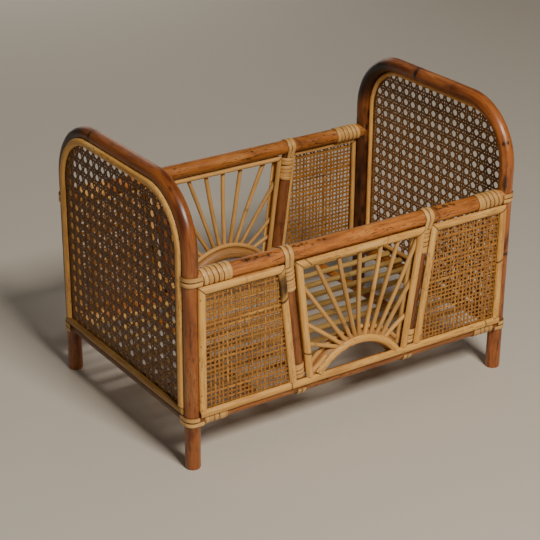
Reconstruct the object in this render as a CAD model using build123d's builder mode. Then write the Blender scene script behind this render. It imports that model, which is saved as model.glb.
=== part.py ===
"""Rattan doll's cot: two bent end hoops, side rails, cane panels and a sunburst on each side.

Frame: +X from the foot end to the head end, +Y from front to back, +Z up, the feet on Z = 0,
the origin in the middle of the footprint. Millimetres.
"""
from build123d import *
from math import atan, cos, radians, sin, sqrt, tan
import os

os.makedirs("parts", exist_ok=True)

# ---------------------------------------------------------------- driving dimensions
half_length = 200          # cot centre to the axis of an end hoop's leg, along X
half_width = 128           # cot centre to the axis of a leg, along Y
foot_hoop_height = 298     # floor to the axis of the foot hoop's top run
head_hoop_height = 305
shoulder_radius = 64       # bend of the hoops, at the pole's axis
top_rail_height = 209      # floor to the axis of a side's top rail
bottom_rail_height = 55

hoop_radius = 8.25         # poles
top_rail_radius = 8.5
bottom_rail_radius = 7
strut_radius = 7
arch_pole_radius = 7.25
bearer_radius = 5
slat_radius = 3.5
ray_radius = 2.6
inner_strip_radius = 2.75  # round core reed on the inner faces
strip_half_width = 4.25    # half-round strips on the outer faces
strip_rise = 3.75
cane_thickness = 1.5
peel_thickness = 1         # flat cane peel of the bindings
peel_width = 5.8

arch_radius = 63           # sunburst arch, at the pole's axis
arch_crown_height = 92.3
slat_count = 9
slat_pitch = 23.75
slat_half_length = 203
bearer_x = 120

seat = 7.45                # outer strips lie on this plane, measured outward from the pole axes
fit = 0.05                 # clearance where pieces touch
joint_gap = 0.2            # open mitres and butt joints

strip_from_post = 7.9      # strip centre lines, measured from the axis of the pole beside them
strip_below_rail = 11
strip_above_rail = 7.8
end_strip_above_rail = 10.3
inner_from_post = 11.2
inner_from_strut = 11.2
inner_below_rail = 12.6
inner_above_rail = 10.2
sun_inner_above_rail = 14  # the sunburst's side reeds stop on the arch
arch_reed_above_rail = 22  # and the arch's own reed stops short of them
ray_foot_above_rail = 13.8 # no ray comes lower
sheet_margin = 2           # cane runs this far past the strip centre lines

top_wrap_turns = 6
bottom_wrap_turns = 5
strut_top_turns = 5
strut_bottom_turns = 3
strap_turns = 2
brad_inset = 5.4           # brads stand this far from the leg's axis
brad_shank_radius = 0.45
brad_head_radius = 0.9
brad_length = 12

# struts, from the side's middle: the axis at the top rail and at the bottom rail, and how far
# from it the centre lines of the strips beside it run; the front head one was set in crooked
struts = {("front", "foot"): (90, 71, 10.45), ("front", "head"): (89.3, 68.5, 8.8),
          ("back", "head"): (90, 71, 10.45), ("back", "foot"): (90, 71, 10.45)}

# butt joints of a side's bottom strip, from the side's middle, + to the right seen from outside
bottom_strip_joints = [-86, 176]

# rays of the two sunbursts: where each leaves the arch (degrees from the crown, + towards
# the head) and the way it points (degrees from +X, upwards)
front_rays = [(-36, 216), (-24, 160), (-19, 142), (-13, 126), (-7, 116), (-2, 104),
              (2, 91), (9, 80), (16, 72), (23, 63), (30, 56), (35, 35)]
back_rays = [(-31, 152), (-22, 133), (-14, 120), (-8, 110), (-2, 101), (3, 91),
             (9, 81), (14, 67), (20, 55), (27, 40), (34, 26)]

# ---------------------------------------------------------------- derived
arch_centre_height = arch_crown_height - arch_radius
cane_face = seat - fit - cane_thickness            # inner face of a cane sheet
panel_reed = cane_face - fit - inner_strip_radius  # inner reeds behind a cane sheet
ray_plane = seat - 0.25 - ray_radius
sunburst_reed = ray_plane - ray_radius - fit - inner_strip_radius
slat_height = bottom_rail_height + bottom_rail_radius + fit + slat_radius
strip_top_height = top_rail_height - strip_below_rail
strip_bottom_height = bottom_rail_height + strip_above_rail
end_strip_height = bottom_rail_height + end_strip_above_rail
reach = 30                                         # long enough to cut right through a piece

FRONT = Plane(origin=(0, -half_width, 0), x_dir=(1, 0, 0), z_dir=(0, -1, 0))
BACK = Plane(origin=(0, half_width, 0), x_dir=(-1, 0, 0), z_dir=(0, 1, 0))
FOOT = Plane(origin=(-half_length, 0, 0), x_dir=(0, -1, 0), z_dir=(-1, 0, 0))
HEAD = Plane(origin=(half_length, 0, 0), x_dir=(0, 1, 0), z_dir=(1, 0, 0))
# on each of these planes local x runs to the right as seen from outside, y is up and z outward
SIDES = {"front": FRONT, "back": BACK}
ENDS = {"foot": (FOOT, foot_hoop_height), "head": (HEAD, head_hoop_height)}
# on the front plane the head is at +x, and on the back plane the foot is
CANE_BAYS = {("front", "foot"): -1, ("front", "head"): 1, ("back", "head"): -1, ("back", "foot"): 1}


def save(part, label):
    """Name a finished piece and write it."""
    part.label = label
    export_step(part, f"parts/{label}.step")


def lean(bay):
    """Angle of a strut from the vertical."""
    top, bottom, _ = struts[bay]
    return atan((top - bottom) / (top_rail_height - bottom_rail_height))


def strut_x(bay, height, offset=0):
    """Distance from a side's middle to a strut's axis, or to a line parallel to it."""
    bottom = struts[bay][1]
    return bottom + (height - bottom_rail_height) * tan(lean(bay)) + offset / cos(lean(bay))


def strut_ends(bay):
    """Lower and upper end of a strut's axis."""
    plane = SIDES[bay[0]]
    top, bottom, _ = struts[bay]
    return (plane.from_local_coords(Vector(CANE_BAYS[bay] * bottom, bottom_rail_height, 0)),
            plane.from_local_coords(Vector(CANE_BAYS[bay] * top, top_rail_height, 0)))


def world_direction(plane, x, y):
    """Unit vector of an in-plane direction."""
    return (plane.x_dir * x + plane.y_dir * y).normalized()


def profile_plane(plane, line):
    """Plane across a strip's start, with its local y pointing outward."""
    direction = line % 0
    return Plane(origin=line @ 0, x_dir=plane.z_dir.cross(direction), z_dir=direction)


def cane_corners(bay, from_post, from_strut, below_rail, above_rail):
    """Corners of a cane bay: bottom and top by the post, then top and bottom by the strut."""
    sign = CANE_BAYS[bay]
    top = top_rail_height - below_rail
    bottom = bottom_rail_height + above_rail
    post = half_length - from_post
    return [(sign * post, bottom), (sign * post, top),
            (sign * strut_x(bay, top, from_strut), top),
            (sign * strut_x(bay, bottom, from_strut), bottom)]


def sunburst_corners(side, below_rail, above_rail, from_strut=None):
    """Corners of a sunburst bay: bottom and top left, then top and bottom right.

    Without from_strut they lie on the centre lines of the strips.
    """
    top = top_rail_height - below_rail
    bottom = bottom_rail_height + above_rail
    beside = [bay for bay in CANE_BAYS if bay[0] == side]
    left, right = sorted(beside, key=CANE_BAYS.get)
    from_left = from_strut or struts[left][2]
    from_right = from_strut or struts[right][2]
    return [(-strut_x(left, bottom, -from_left), bottom), (-strut_x(left, top, -from_left), top),
            (strut_x(right, top, -from_right), top), (strut_x(right, bottom, -from_right), bottom)]


def mitre_angle(before, corner, after):
    """Direction of the mitre line at a corner, in degrees."""
    inward = (Vector(*before) - Vector(*corner)).normalized()
    inward += (Vector(*after) - Vector(*corner)).normalized()
    return Vector(1, 0, 0).get_signed_angle(inward, Vector(0, 0, 1))


# ---------------------------------------------------------------- strip profiles
with BuildSketch() as half_round:                  # flat on the local x axis, domed along +y
    with BuildLine():
        EllipticalCenterArc((0, 0), strip_half_width, strip_rise, start_angle=0, arc_size=180)
        Line((-strip_half_width, 0), (strip_half_width, 0))
    make_face()

with BuildSketch() as reed:
    Circle(inner_strip_radius)

# ---------------------------------------------------------------- end hoops
for end, (plane, height) in ENDS.items():
    with BuildPart() as hoop:
        with BuildLine(plane) as bend:
            FilletPolyline((-half_width, 0), (-half_width, height), (half_width, height),
                           (half_width, 0), radius=shoulder_radius)
        with BuildSketch(Plane(origin=bend.line @ 0, z_dir=bend.line % 0)):
            Circle(hoop_radius)
        sweep()
        feet = hoop.faces().sort_by(Axis.Z)[:2]
        chamfer(feet.edges(), length=0.8)
    save(hoop.part, f"{end}_hoop")

# ---------------------------------------------------------------- rails, coped to the legs
rails = {"top": (top_rail_height, top_rail_radius), "bottom": (bottom_rail_height, bottom_rail_radius)}
for side, plane in SIDES.items():
    for level, (height, radius) in rails.items():
        with BuildPart() as rail:
            with BuildSketch(Plane.YZ.offset(-half_length)):
                with Locations((plane.origin.Y, height)):
                    Circle(radius)
            extrude(amount=2 * half_length)
            with BuildSketch(Plane.XY.offset(height - reach)):
                with Locations((-half_length, plane.origin.Y), (half_length, plane.origin.Y)):
                    Circle(hoop_radius + fit)
            extrude(amount=2 * reach, mode=Mode.SUBTRACT)
        save(rail.part, f"{side}_{level}_rail")

for end, (plane, _) in ENDS.items():
    with BuildPart() as cross_rail:
        with BuildSketch(Plane.XZ.offset(-half_width)):
            with Locations((plane.origin.X, bottom_rail_height)):
                Circle(bottom_rail_radius)
        extrude(amount=2 * half_width)
        with BuildSketch(Plane.XY.offset(bottom_rail_height - reach)):
            with Locations((plane.origin.X, -half_width), (plane.origin.X, half_width)):
                Circle(hoop_radius + fit)
        extrude(amount=2 * reach, mode=Mode.SUBTRACT)
        with BuildSketch(Plane.YZ.offset(-half_length)):
            with Locations((-half_width, bottom_rail_height), (half_width, bottom_rail_height)):
                Circle(bottom_rail_radius + fit)
        extrude(amount=2 * half_length, mode=Mode.SUBTRACT)
    save(cross_rail.part, f"{end}_cross_rail")

# ---------------------------------------------------------------- leaning struts
for side, end in CANE_BAYS:
    plane = SIDES[side]
    foot_of_strut, head_of_strut = strut_ends((side, end))
    with BuildPart() as strut:
        with BuildSketch(Plane(origin=foot_of_strut, z_dir=head_of_strut - foot_of_strut)):
            Circle(strut_radius)
        extrude(amount=(head_of_strut - foot_of_strut).length)
        with BuildSketch(Plane.YZ.offset(-half_length)):
            with Locations((plane.origin.Y, top_rail_height)):
                Circle(top_rail_radius + fit)
            with Locations((plane.origin.Y, bottom_rail_height)):
                Circle(bottom_rail_radius + fit)
        extrude(amount=2 * half_length, mode=Mode.SUBTRACT)
    save(strut.part, f"{side}_{end}_strut")

# ---------------------------------------------------------------- sunburst arches and rays
for side, plane in SIDES.items():
    centre = plane.from_local_coords(Vector(0, arch_centre_height, 0))
    arch_axis = Axis(centre, plane.z_dir)
    crown = plane.from_local_coords(Vector(0, arch_crown_height, 0))

    with BuildPart() as arch_pole:
        with BuildSketch(Plane(origin=crown, x_dir=plane.y_dir, z_dir=plane.x_dir)):
            Circle(arch_pole_radius)
        revolve(axis=arch_axis, revolution_arc=360)
        with BuildSketch(plane):
            with Locations((0, bottom_rail_height)):
                Rectangle(4 * arch_radius, 4 * arch_radius, align=(Align.CENTER, Align.MAX))
        extrude(amount=reach, both=True, mode=Mode.SUBTRACT)
        with BuildSketch(Plane.YZ.offset(-half_length)):
            with Locations((plane.origin.Y, bottom_rail_height)):
                Circle(bottom_rail_radius + fit)
        extrude(amount=2 * half_length, mode=Mode.SUBTRACT)
    save(arch_pole.part, f"{side}_arch_pole")

    with BuildPart() as arch_trim:
        trim_origin = crown + plane.z_dir * seat
        with BuildSketch(Plane(origin=trim_origin, x_dir=plane.y_dir, z_dir=plane.x_dir)):
            add(half_round.sketch)
        revolve(axis=arch_axis, revolution_arc=360)
        with BuildSketch(plane):
            with Locations((0, strip_bottom_height + strip_half_width + fit)):
                Rectangle(4 * arch_radius, 4 * arch_radius, align=(Align.CENTER, Align.MAX))
        extrude(amount=reach, mode=Mode.SUBTRACT)
    save(arch_trim.part, f"{side}_arch_trim")

    with BuildPart() as rays:
        headward = plane.x_dir.X
        for around, pointing in front_rays if side == "front" else back_rays:
            start_point = plane.from_local_coords(Vector(
                headward * arch_radius * sin(radians(around)),
                arch_centre_height + arch_radius * cos(radians(around)), ray_plane))
            direction = world_direction(plane, headward * cos(radians(pointing)),
                                        sin(radians(pointing)))
            with BuildSketch(Plane(origin=start_point, z_dir=direction)):
                Circle(ray_radius)
            extrude(amount=2 * half_width)
        with BuildSketch(plane):
            Polygon(*sunburst_corners(side, strip_below_rail, ray_foot_above_rail), align=None)
        extrude(amount=reach, both=True, mode=Mode.INTERSECT)
        with BuildSketch(Plane(origin=crown, x_dir=plane.y_dir, z_dir=plane.x_dir)):
            Circle(arch_pole_radius + fit)
        revolve(axis=arch_axis, revolution_arc=360, mode=Mode.SUBTRACT)
    save(rays.part, f"{side}_sun_rays")

# ---------------------------------------------------------------- strips round the bays


def three_sided_frame(plane, corners, across, outward):
    """Strips up one side of a bay, along its top and down the other, with mitred top corners."""
    (left, foot), (right, _) = corners[0], corners[-1]
    lean_out = (corners[1][0] - left) / (corners[1][1] - foot)
    lean_back = (corners[2][0] - right) / (corners[2][1] - foot)
    with BuildPart() as frame:
        with BuildLine(plane.offset(outward)) as run:
            Polyline((left - lean_out, foot - 1), *corners[1:-1], (right - lean_back, foot - 1))
        with BuildSketch(profile_plane(plane, run.line)):
            add(across)
        sweep(transition=Transition.RIGHT)
        for before, corner, after in zip(corners, corners[1:], corners[2:]):
            with BuildSketch(plane):
                with Locations(corner):
                    Rectangle(reach, joint_gap, rotation=mitre_angle(before, corner, after))
            extrude(amount=reach, both=True, mode=Mode.SUBTRACT)
        with BuildSketch(plane):                   # both sides are sawn level at the bottom
            with Locations((0, foot)):
                Rectangle(2 * half_length, reach, align=(Align.CENTER, Align.MAX))
        extrude(amount=reach, both=True, mode=Mode.SUBTRACT)
    return frame.part


outer_above_rail = strip_above_rail + strip_half_width + fit   # side strips stand on the bottom one
for side, end in CANE_BAYS:
    plane = SIDES[side]
    bay = (side, end)
    strip_from_strut = struts[bay][2]
    outer = cane_corners(bay, strip_from_post, strip_from_strut, strip_below_rail, outer_above_rail)
    save(three_sided_frame(plane, outer, half_round.sketch, seat), f"{side}_{end}_cane_frame")
    inner = cane_corners(bay, inner_from_post, inner_from_strut, inner_below_rail, inner_above_rail)
    save(three_sided_frame(plane, inner, reed.sketch, panel_reed), f"{side}_{end}_cane_inner_frame")

    with BuildPart() as cane_panel:
        with BuildSketch(plane.offset(cane_face)):
            Polygon(*cane_corners(bay, strip_from_post - sheet_margin, strip_from_strut - sheet_margin,
                                  strip_below_rail - sheet_margin, strip_above_rail - sheet_margin),
                    align=None)
        extrude(amount=cane_thickness)
    save(cane_panel.part, f"{side}_{end}_cane_panel")

for side, plane in SIDES.items():
    outer = sunburst_corners(side, strip_below_rail, outer_above_rail)
    save(three_sided_frame(plane, outer, half_round.sketch, seat), f"{side}_sun_frame")
    inner = sunburst_corners(side, inner_below_rail, sun_inner_above_rail, inner_from_strut)
    save(three_sided_frame(plane, inner, reed.sketch, sunburst_reed), f"{side}_sun_inner_frame")

    with BuildPart() as arch_inner_trim:
        over_arch = arch_radius + arch_pole_radius + fit + inner_strip_radius
        centre = plane.from_local_coords(Vector(0, arch_centre_height, sunburst_reed))
        with BuildSketch(Plane(origin=centre + plane.y_dir * over_arch, x_dir=plane.y_dir,
                               z_dir=plane.x_dir)):
            Circle(inner_strip_radius)
        revolve(axis=Axis(centre, plane.z_dir), revolution_arc=360)
        with BuildSketch(plane):
            with Locations((0, bottom_rail_height + arch_reed_above_rail)):
                Rectangle(4 * arch_radius, 4 * arch_radius, align=(Align.CENTER, Align.MAX))
        extrude(amount=reach, both=True, mode=Mode.SUBTRACT)
    save(arch_inner_trim.part, f"{side}_arch_inner_trim")

    with BuildPart() as bottom_trim:
        half_run = half_length - strip_from_post + strip_half_width
        corner = plane.from_local_coords(Vector(-half_run, strip_bottom_height, seat))
        with BuildSketch(Plane(origin=corner, x_dir=plane.y_dir, z_dir=plane.x_dir)):
            add(half_round.sketch)
        extrude(amount=2 * half_run)
        with BuildSketch(plane):
            for joint in bottom_strip_joints:
                with Locations((joint, strip_bottom_height)):
                    Rectangle(joint_gap, reach)
        extrude(amount=reach, mode=Mode.SUBTRACT)
    save(bottom_trim.part, f"{side}_bottom_trim")

# ---------------------------------------------------------------- end panels


def hoop_lining(plane, height, offset, foot, outward, across):
    """A strip that follows the inside of a hoop, offset from its axis, down to height foot."""
    half_span = half_width - offset
    with BuildPart() as lining:
        with BuildLine(plane.offset(outward)) as run:
            FilletPolyline((-half_span, foot), (-half_span, height - offset),
                           (half_span, height - offset), (half_span, foot),
                           radius=shoulder_radius - offset)
        with BuildSketch(profile_plane(plane, run.line)):
            add(across)
        sweep()
    return lining.part


for end, (plane, height) in ENDS.items():
    outer_foot = end_strip_height + strip_half_width + fit
    outer_trim = hoop_lining(plane, height, strip_from_post, outer_foot, seat, half_round.sketch)
    save(outer_trim, f"{end}_outer_trim")
    reed_height = slat_height + slat_radius + fit + inner_strip_radius
    reed_foot = reed_height + inner_strip_radius + joint_gap
    inner_trim = hoop_lining(plane, height, inner_from_post, reed_foot, panel_reed, reed.sketch)
    save(inner_trim, f"{end}_inner_trim")

    with BuildPart() as outer_sill:
        half_run = half_width - strip_from_post + strip_half_width
        corner = plane.from_local_coords(Vector(-half_run, end_strip_height, seat))
        with BuildSketch(Plane(origin=corner, x_dir=plane.y_dir, z_dir=plane.x_dir)):
            add(half_round.sketch)
        extrude(amount=2 * half_run)
    save(outer_sill.part, f"{end}_outer_sill")

    with BuildPart() as inner_sill:
        half_run = half_width - inner_from_post + inner_strip_radius
        corner = plane.from_local_coords(Vector(-half_run, reed_height, panel_reed))
        with BuildSketch(Plane(origin=corner, z_dir=plane.x_dir)):
            Circle(inner_strip_radius)
        extrude(amount=2 * half_run)
    save(inner_sill.part, f"{end}_inner_sill")

    with BuildPart() as webbing:
        margin = strip_from_post - sheet_margin
        half_span = half_width - margin
        with BuildSketch(plane.offset(cane_face)):
            with BuildLine():
                rim = FilletPolyline((-half_span, end_strip_height - sheet_margin),
                                     (-half_span, height - margin), (half_span, height - margin),
                                     (half_span, end_strip_height - sheet_margin),
                                     radius=shoulder_radius - margin)
                Line(rim @ 1, rim @ 0)
            make_face()
        extrude(amount=cane_thickness)
    save(webbing.part, f"{end}_webbing")

# ---------------------------------------------------------------- base
with BuildPart() as base_slats:
    with BuildSketch(Plane.YZ.offset(-slat_half_length)):
        with Locations((0, slat_height)):
            with GridLocations(slat_pitch, 0, slat_count, 1):
                Circle(slat_radius)
    extrude(amount=2 * slat_half_length)
save(base_slats.part, "base_slats")

with BuildPart() as base_bearers:
    bearer_height = slat_height - slat_radius - fit - bearer_radius
    with BuildSketch(Plane.XZ.offset(-half_width)):
        with Locations((-bearer_x, bearer_height), (bearer_x, bearer_height)):
            Circle(bearer_radius)
    extrude(amount=2 * half_width)
    with BuildSketch(Plane.YZ.offset(-half_length)):
        with Locations((-half_width, bottom_rail_height), (half_width, bottom_rail_height)):
            Circle(bottom_rail_radius + fit)
    extrude(amount=2 * half_length, mode=Mode.SUBTRACT)
save(base_bearers.part, "base_bearers")

# ---------------------------------------------------------------- cane peel bindings


def wrap(start, along, pole_radius, turns):
    """Turns of flat peel side by side round a pole, the first one starting at start."""
    side_on = Plane(origin=start, x_dir=along, z_dir=Vector(along).cross(Vector(0, 1, 0)))
    with BuildPart() as wound:
        with BuildSketch(side_on):
            for turn in range(turns):
                middle = (turn + 0.5) * peel_width
                with Locations((middle, pole_radius + fit + peel_thickness / 2)):
                    RectangleRounded(peel_width + joint_gap, peel_thickness, 0.45 * peel_thickness)
        revolve(axis=Axis(start, along))
    return wound.part


def save_at_corners(piece, label):
    """Write a piece made at the front foot corner, with its mirror images at the other three."""
    with BuildPart() as corners:
        add(piece)
        mirror(about=Plane.YZ)
        mirror(about=Plane.XZ)
    save(corners.part, label)


wrap_start = hoop_radius + 0.5 - half_length       # clear of the leg
for level, (height, radius) in rails.items():
    turns = top_wrap_turns if level == "top" else bottom_wrap_turns
    start = Vector(wrap_start, -half_width, height)
    save_at_corners(wrap(start, Vector(1, 0, 0), radius, turns), f"{level}_rail_wraps")

under_rail = top_rail_radius + 2
over_strip = strip_bottom_height + strip_half_width + 0.4 - bottom_rail_height
with BuildPart() as strut_top_wraps:
    for bay in CANE_BAYS:
        foot_of_strut, head_of_strut = strut_ends(bay)
        down = (foot_of_strut - head_of_strut).normalized()
        add(wrap(head_of_strut + down * under_rail, down, strut_radius, strut_top_turns))
save(strut_top_wraps.part, "strut_top_wraps")

with BuildPart() as strut_bottom_wraps:
    for bay in CANE_BAYS:
        foot_of_strut, head_of_strut = strut_ends(bay)
        up = (head_of_strut - foot_of_strut).normalized()
        add(wrap(foot_of_strut + up * (over_strip / cos(lean(bay))), up, strut_radius, strut_bottom_turns))
save(strut_bottom_wraps.part, "strut_bottom_wraps")

for level, (height, radius) in rails.items():
    room = sqrt((radius + fit) ** 2 - (strut_radius + fit) ** 2)   # a strap ends on the strut's face
    limit, away = (height - room, Align.MAX) if level == "top" else (height + room, Align.MIN)
    with BuildPart() as straps:
        for bay in CANE_BAYS:
            foot_of_strut, head_of_strut = strut_ends(bay)
            middle = head_of_strut if level == "top" else foot_of_strut
            start = middle - Vector(strap_turns * peel_width / 2, 0, 0)
            add(wrap(start, Vector(1, 0, 0), radius, strap_turns))
        with BuildSketch(Plane.YZ.offset(-half_length)):
            with Locations((-half_width, limit), (half_width, limit)):
                Rectangle(reach, reach, align=(Align.CENTER, away))
        extrude(amount=2 * half_length, mode=Mode.SUBTRACT)
    save(straps.part, f"strut_{level}_straps")

band_inner = top_rail_radius + fit               # a band lies on the rail's thicker face too
band_outer = band_inner + peel_thickness
strand_width = 5
short_leg = strip_from_post - strip_half_width - joint_gap   # stops short of a strip
long_leg = hoop_radius + 0.4
for level, (height, radius) in rails.items():
    end_leg = long_leg if level == "bottom" else short_leg
    with BuildPart() as band:
        for low in (height - strand_width - 0.1, height + 0.1):
            beside_strip = level == "bottom" and low > height
            rail_leg = short_leg if beside_strip else long_leg
            with BuildSketch(Plane(origin=(-half_length, -half_width, low))):
                Circle(band_outer)
                Circle(band_inner, mode=Mode.SUBTRACT)
                Rectangle(2 * band_outer, 2 * band_outer, align=Align.MAX, mode=Mode.INTERSECT)
                with Locations((0, -band_outer)):
                    Rectangle(rail_leg, peel_thickness, align=Align.MIN)
                with Locations((-band_outer, 0)):
                    Rectangle(peel_thickness, end_leg, align=Align.MIN)
            extrude(amount=strand_width)
    save_at_corners(band.part, f"{level}_post_bands")

# ---------------------------------------------------------------- brads
side_brad_heights = [85, 140, 190]
end_brad_heights = [90, 150, 210]
dome_at_brad = strip_rise * sqrt(1 - ((strip_from_post - brad_inset) / strip_half_width) ** 2)
head_base = seat + dome_at_brad - 0.3
with BuildPart() as trim_brads:
    corner = Vector(-half_length, -half_width, 0)
    for heights, along, outward in ((side_brad_heights, Vector(1, 0, 0), Vector(0, -1, 0)),
                                    (end_brad_heights, Vector(0, 1, 0), Vector(-1, 0, 0))):
        for height in heights:
            point = corner + along * brad_inset + outward * head_base + Vector(0, 0, height)
            with BuildSketch(Plane(origin=point, z_dir=outward)):
                Circle(brad_head_radius)
            extrude(amount=0.6)
            with BuildSketch(Plane(origin=point, z_dir=outward * -1)):
                Circle(brad_shank_radius)
            extrude(amount=brad_length)
    mirror(about=Plane.YZ)
    mirror(about=Plane.XZ)
save(trim_brads.part, "trim_brads")
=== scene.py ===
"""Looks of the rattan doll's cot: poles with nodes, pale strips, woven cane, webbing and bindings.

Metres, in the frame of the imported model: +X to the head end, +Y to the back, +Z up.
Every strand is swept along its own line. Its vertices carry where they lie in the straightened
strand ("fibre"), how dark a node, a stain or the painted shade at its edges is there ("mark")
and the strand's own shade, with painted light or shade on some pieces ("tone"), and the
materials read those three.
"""
import math

import bpy
import numpy as np
from mathutils import Matrix, Vector


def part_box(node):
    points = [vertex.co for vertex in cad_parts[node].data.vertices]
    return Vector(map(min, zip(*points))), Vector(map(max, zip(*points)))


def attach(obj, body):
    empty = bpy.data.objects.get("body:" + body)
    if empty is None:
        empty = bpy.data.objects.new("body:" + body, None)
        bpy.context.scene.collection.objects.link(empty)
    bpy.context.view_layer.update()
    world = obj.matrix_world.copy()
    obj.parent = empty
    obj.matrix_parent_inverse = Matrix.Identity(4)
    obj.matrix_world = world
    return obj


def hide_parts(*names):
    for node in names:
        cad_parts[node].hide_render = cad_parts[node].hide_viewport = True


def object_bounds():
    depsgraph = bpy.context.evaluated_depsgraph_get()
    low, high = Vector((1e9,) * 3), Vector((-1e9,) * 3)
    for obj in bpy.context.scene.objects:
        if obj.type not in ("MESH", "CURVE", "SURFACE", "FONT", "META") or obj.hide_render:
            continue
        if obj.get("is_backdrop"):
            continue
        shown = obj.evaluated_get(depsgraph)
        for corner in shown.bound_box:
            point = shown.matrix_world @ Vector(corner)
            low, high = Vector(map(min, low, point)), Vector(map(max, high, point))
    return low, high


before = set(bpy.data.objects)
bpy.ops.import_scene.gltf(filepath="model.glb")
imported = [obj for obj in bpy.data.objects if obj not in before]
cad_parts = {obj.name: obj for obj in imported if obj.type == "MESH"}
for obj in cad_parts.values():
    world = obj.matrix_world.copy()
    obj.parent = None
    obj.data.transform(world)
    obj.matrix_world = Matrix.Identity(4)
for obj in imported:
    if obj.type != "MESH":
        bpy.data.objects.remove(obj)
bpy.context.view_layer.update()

rng = np.random.default_rng(7)
mm = 0.001
sides = (("front", -1), ("back", 1))               # with the sign of Y there
ends = (("foot", -1), ("head", 1))                 # with the sign of X there
corners_of_cot = [side + end for side in sides for end in ends]

# ---------------------------------------- places, read from the frame


def middle(node, axis):
    low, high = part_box(node)
    return (low[axis] + high[axis]) / 2


def half_size(node, axis):
    low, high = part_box(node)
    return (high[axis] - low[axis]) / 2


hoop_r = half_size("foot_hoop", 0)
half_length = middle("head_hoop", 0)               # the legs' axes, from the cot's middle
half_width = half_size("foot_hoop", 1) - hoop_r
hoop_top = {end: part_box(f"{end}_hoop")[1].z - hoop_r for end, _ in ends}
shoulder = 64 * mm                                 # radius of the two bends of a hoop's axis
rail_r = {level: half_size(f"front_{level}_rail", 1) for level in ("top", "bottom")}
rail_z = {level: middle(f"front_{level}_rail", 2) for level in ("top", "bottom")}
strut_r = 7 * mm
# struts, from a side's middle: the axis at the top rail and at the bottom rail, and how far from
# it the strips beside it run; the front head one was set in crooked
straight_strut = (90 * mm, 71 * mm, 10.45 * mm)
struts = {("front", "foot"): straight_strut, ("front", "head"): (89.3 * mm, 68.5 * mm, 8.8 * mm),
          ("back", "foot"): straight_strut, ("back", "head"): straight_strut}
arch_tube = half_size("front_arch_pole", 1)        # radius of the sunburst's bent pole
arch_r = 63 * mm                                   # radius of the half circle that it makes
arch_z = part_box("front_arch_pole")[1].z - arch_tube - arch_r
strip_w = half_size("foot_outer_sill", 2)          # half the width of a half-round strip
reed_r = half_size("foot_inner_sill", 2)
ray_r = 2.6 * mm
# out from the plane of the pole axes, or in where negative: the strips' flat backs, the axes of
# the reeds inside the cane, the cane's middle, the rays' axes and those of the reeds inside them
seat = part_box("head_outer_trim")[0].x - half_length
panel_reed = middle("head_inner_sill", 0) - half_length
cane_mid = middle("head_webbing", 0) - half_length
ray_out = seat - 0.25 * mm - ray_r
sun_reed = ray_out - ray_r - 0.05 * mm - reed_r
# the strips' domes end just inside the CAD box
strip_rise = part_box("head_outer_trim")[1].x - half_length - seat - 0.03 * mm
# centre lines of a side's strips and reeds: heights, and distances from a leg's axis
strip_low, strip_high = rail_z["bottom"] + 7.8 * mm, rail_z["top"] - 11 * mm
reed_low, reed_high = rail_z["bottom"] + 10.2 * mm, rail_z["top"] - 12.6 * mm
post_gap, reed_gap = 7.9 * mm, 11.2 * mm


def lean(bay):
    """Angle of a strut from upright."""
    top, bottom, _ = struts[bay]
    return math.atan((top - bottom) / (rail_z["top"] - rail_z["bottom"]))


def strut_at(bay, z, offset=0.0):
    """Distance from a side's middle to a strut's axis, or to a line parallel to it."""
    on_axis = struts[bay][1] + (z - rail_z["bottom"]) * math.tan(lean(bay))
    return on_axis + offset / math.cos(lean(bay))


def side_point(side, x, z, out):
    """A point of the front (-1) or back (+1) side, out from the plane of the pole axes."""
    return np.array([x, side * (half_width + out), z])


def end_point(end, y, z, out):
    """The same for the foot (-1) or head (+1) end."""
    return np.array([end * (half_length + out), y, z])


def strut_ends(side, sign, end, way):
    """A strut's axis where it meets the bottom rail's and the top rail's."""
    return [side_point(sign, way * strut_at((side, end), z), z, 0)
            for z in (rail_z["bottom"], rail_z["top"])]


# ---------------------------------------- mesh building
sharp_angle = math.radians(42)


class Bag:
    """Vertices and faces of one piece, gathered strand by strand."""

    def __init__(self):
        self.points, self.fibres, self.marks, self.tones = [], [], [], []
        self.faces, self.count = [], 0

    def grid(self, points, fibre, mark=None, tone=0.0):
        """A tube of n rings of m points each, closed at both ends."""
        n, m = points.shape[:2]
        index = self.count + np.arange(n * m).reshape(n, m)
        turned = np.roll(index, -1, axis=1)
        quads = np.stack([index[:-1], turned[:-1], turned[1:], index[1:]], axis=-1)
        self.faces += quads.reshape(-1, 4).tolist()
        self.faces += [index[0, ::-1].tolist(), index[-1].tolist()]
        self.points.append(points.reshape(-1, 3))
        self.fibres.append(fibre.reshape(-1, 3))
        self.marks.append(np.zeros(n * m) if mark is None else np.clip(mark, 0, 1).reshape(-1))
        self.tones.append(np.full(n * m, tone))
        self.count += n * m

    def build(self, name, material, slot, *nodes):
        """Make the piece that stands for those CAD nodes."""
        mesh = bpy.data.meshes.new(name)
        mesh.from_pydata(np.concatenate(self.points).tolist(), [], self.faces)
        for label, kind, key, values in (("fibre", "FLOAT_VECTOR", "vector", self.fibres),
                                         ("mark", "FLOAT", "value", self.marks),
                                         ("tone", "FLOAT", "value", self.tones)):
            attribute = mesh.attributes.new(label, kind, "POINT")
            attribute.data.foreach_set(key, np.concatenate(values).astype(np.float32).ravel())
        mesh.materials.append(material)
        mesh.shade_smooth()
        mesh.set_sharp_from_angle(angle=sharp_angle)
        piece = bpy.data.objects.new(name, mesh)
        bpy.context.scene.collection.objects.link(piece)
        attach(piece, "root")
        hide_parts(*nodes)


def single(strand, shade, *piece):
    """A piece of one strand, given as its points, fibre and any marks."""
    bag = Bag()
    bag.grid(*strand, tone=shade)
    bag.build(*piece)


def circle(radius, count):
    turn = np.linspace(0, 2 * np.pi, count, endpoint=False)
    return np.stack([np.cos(turn), np.sin(turn)], axis=-1) * radius


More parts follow.
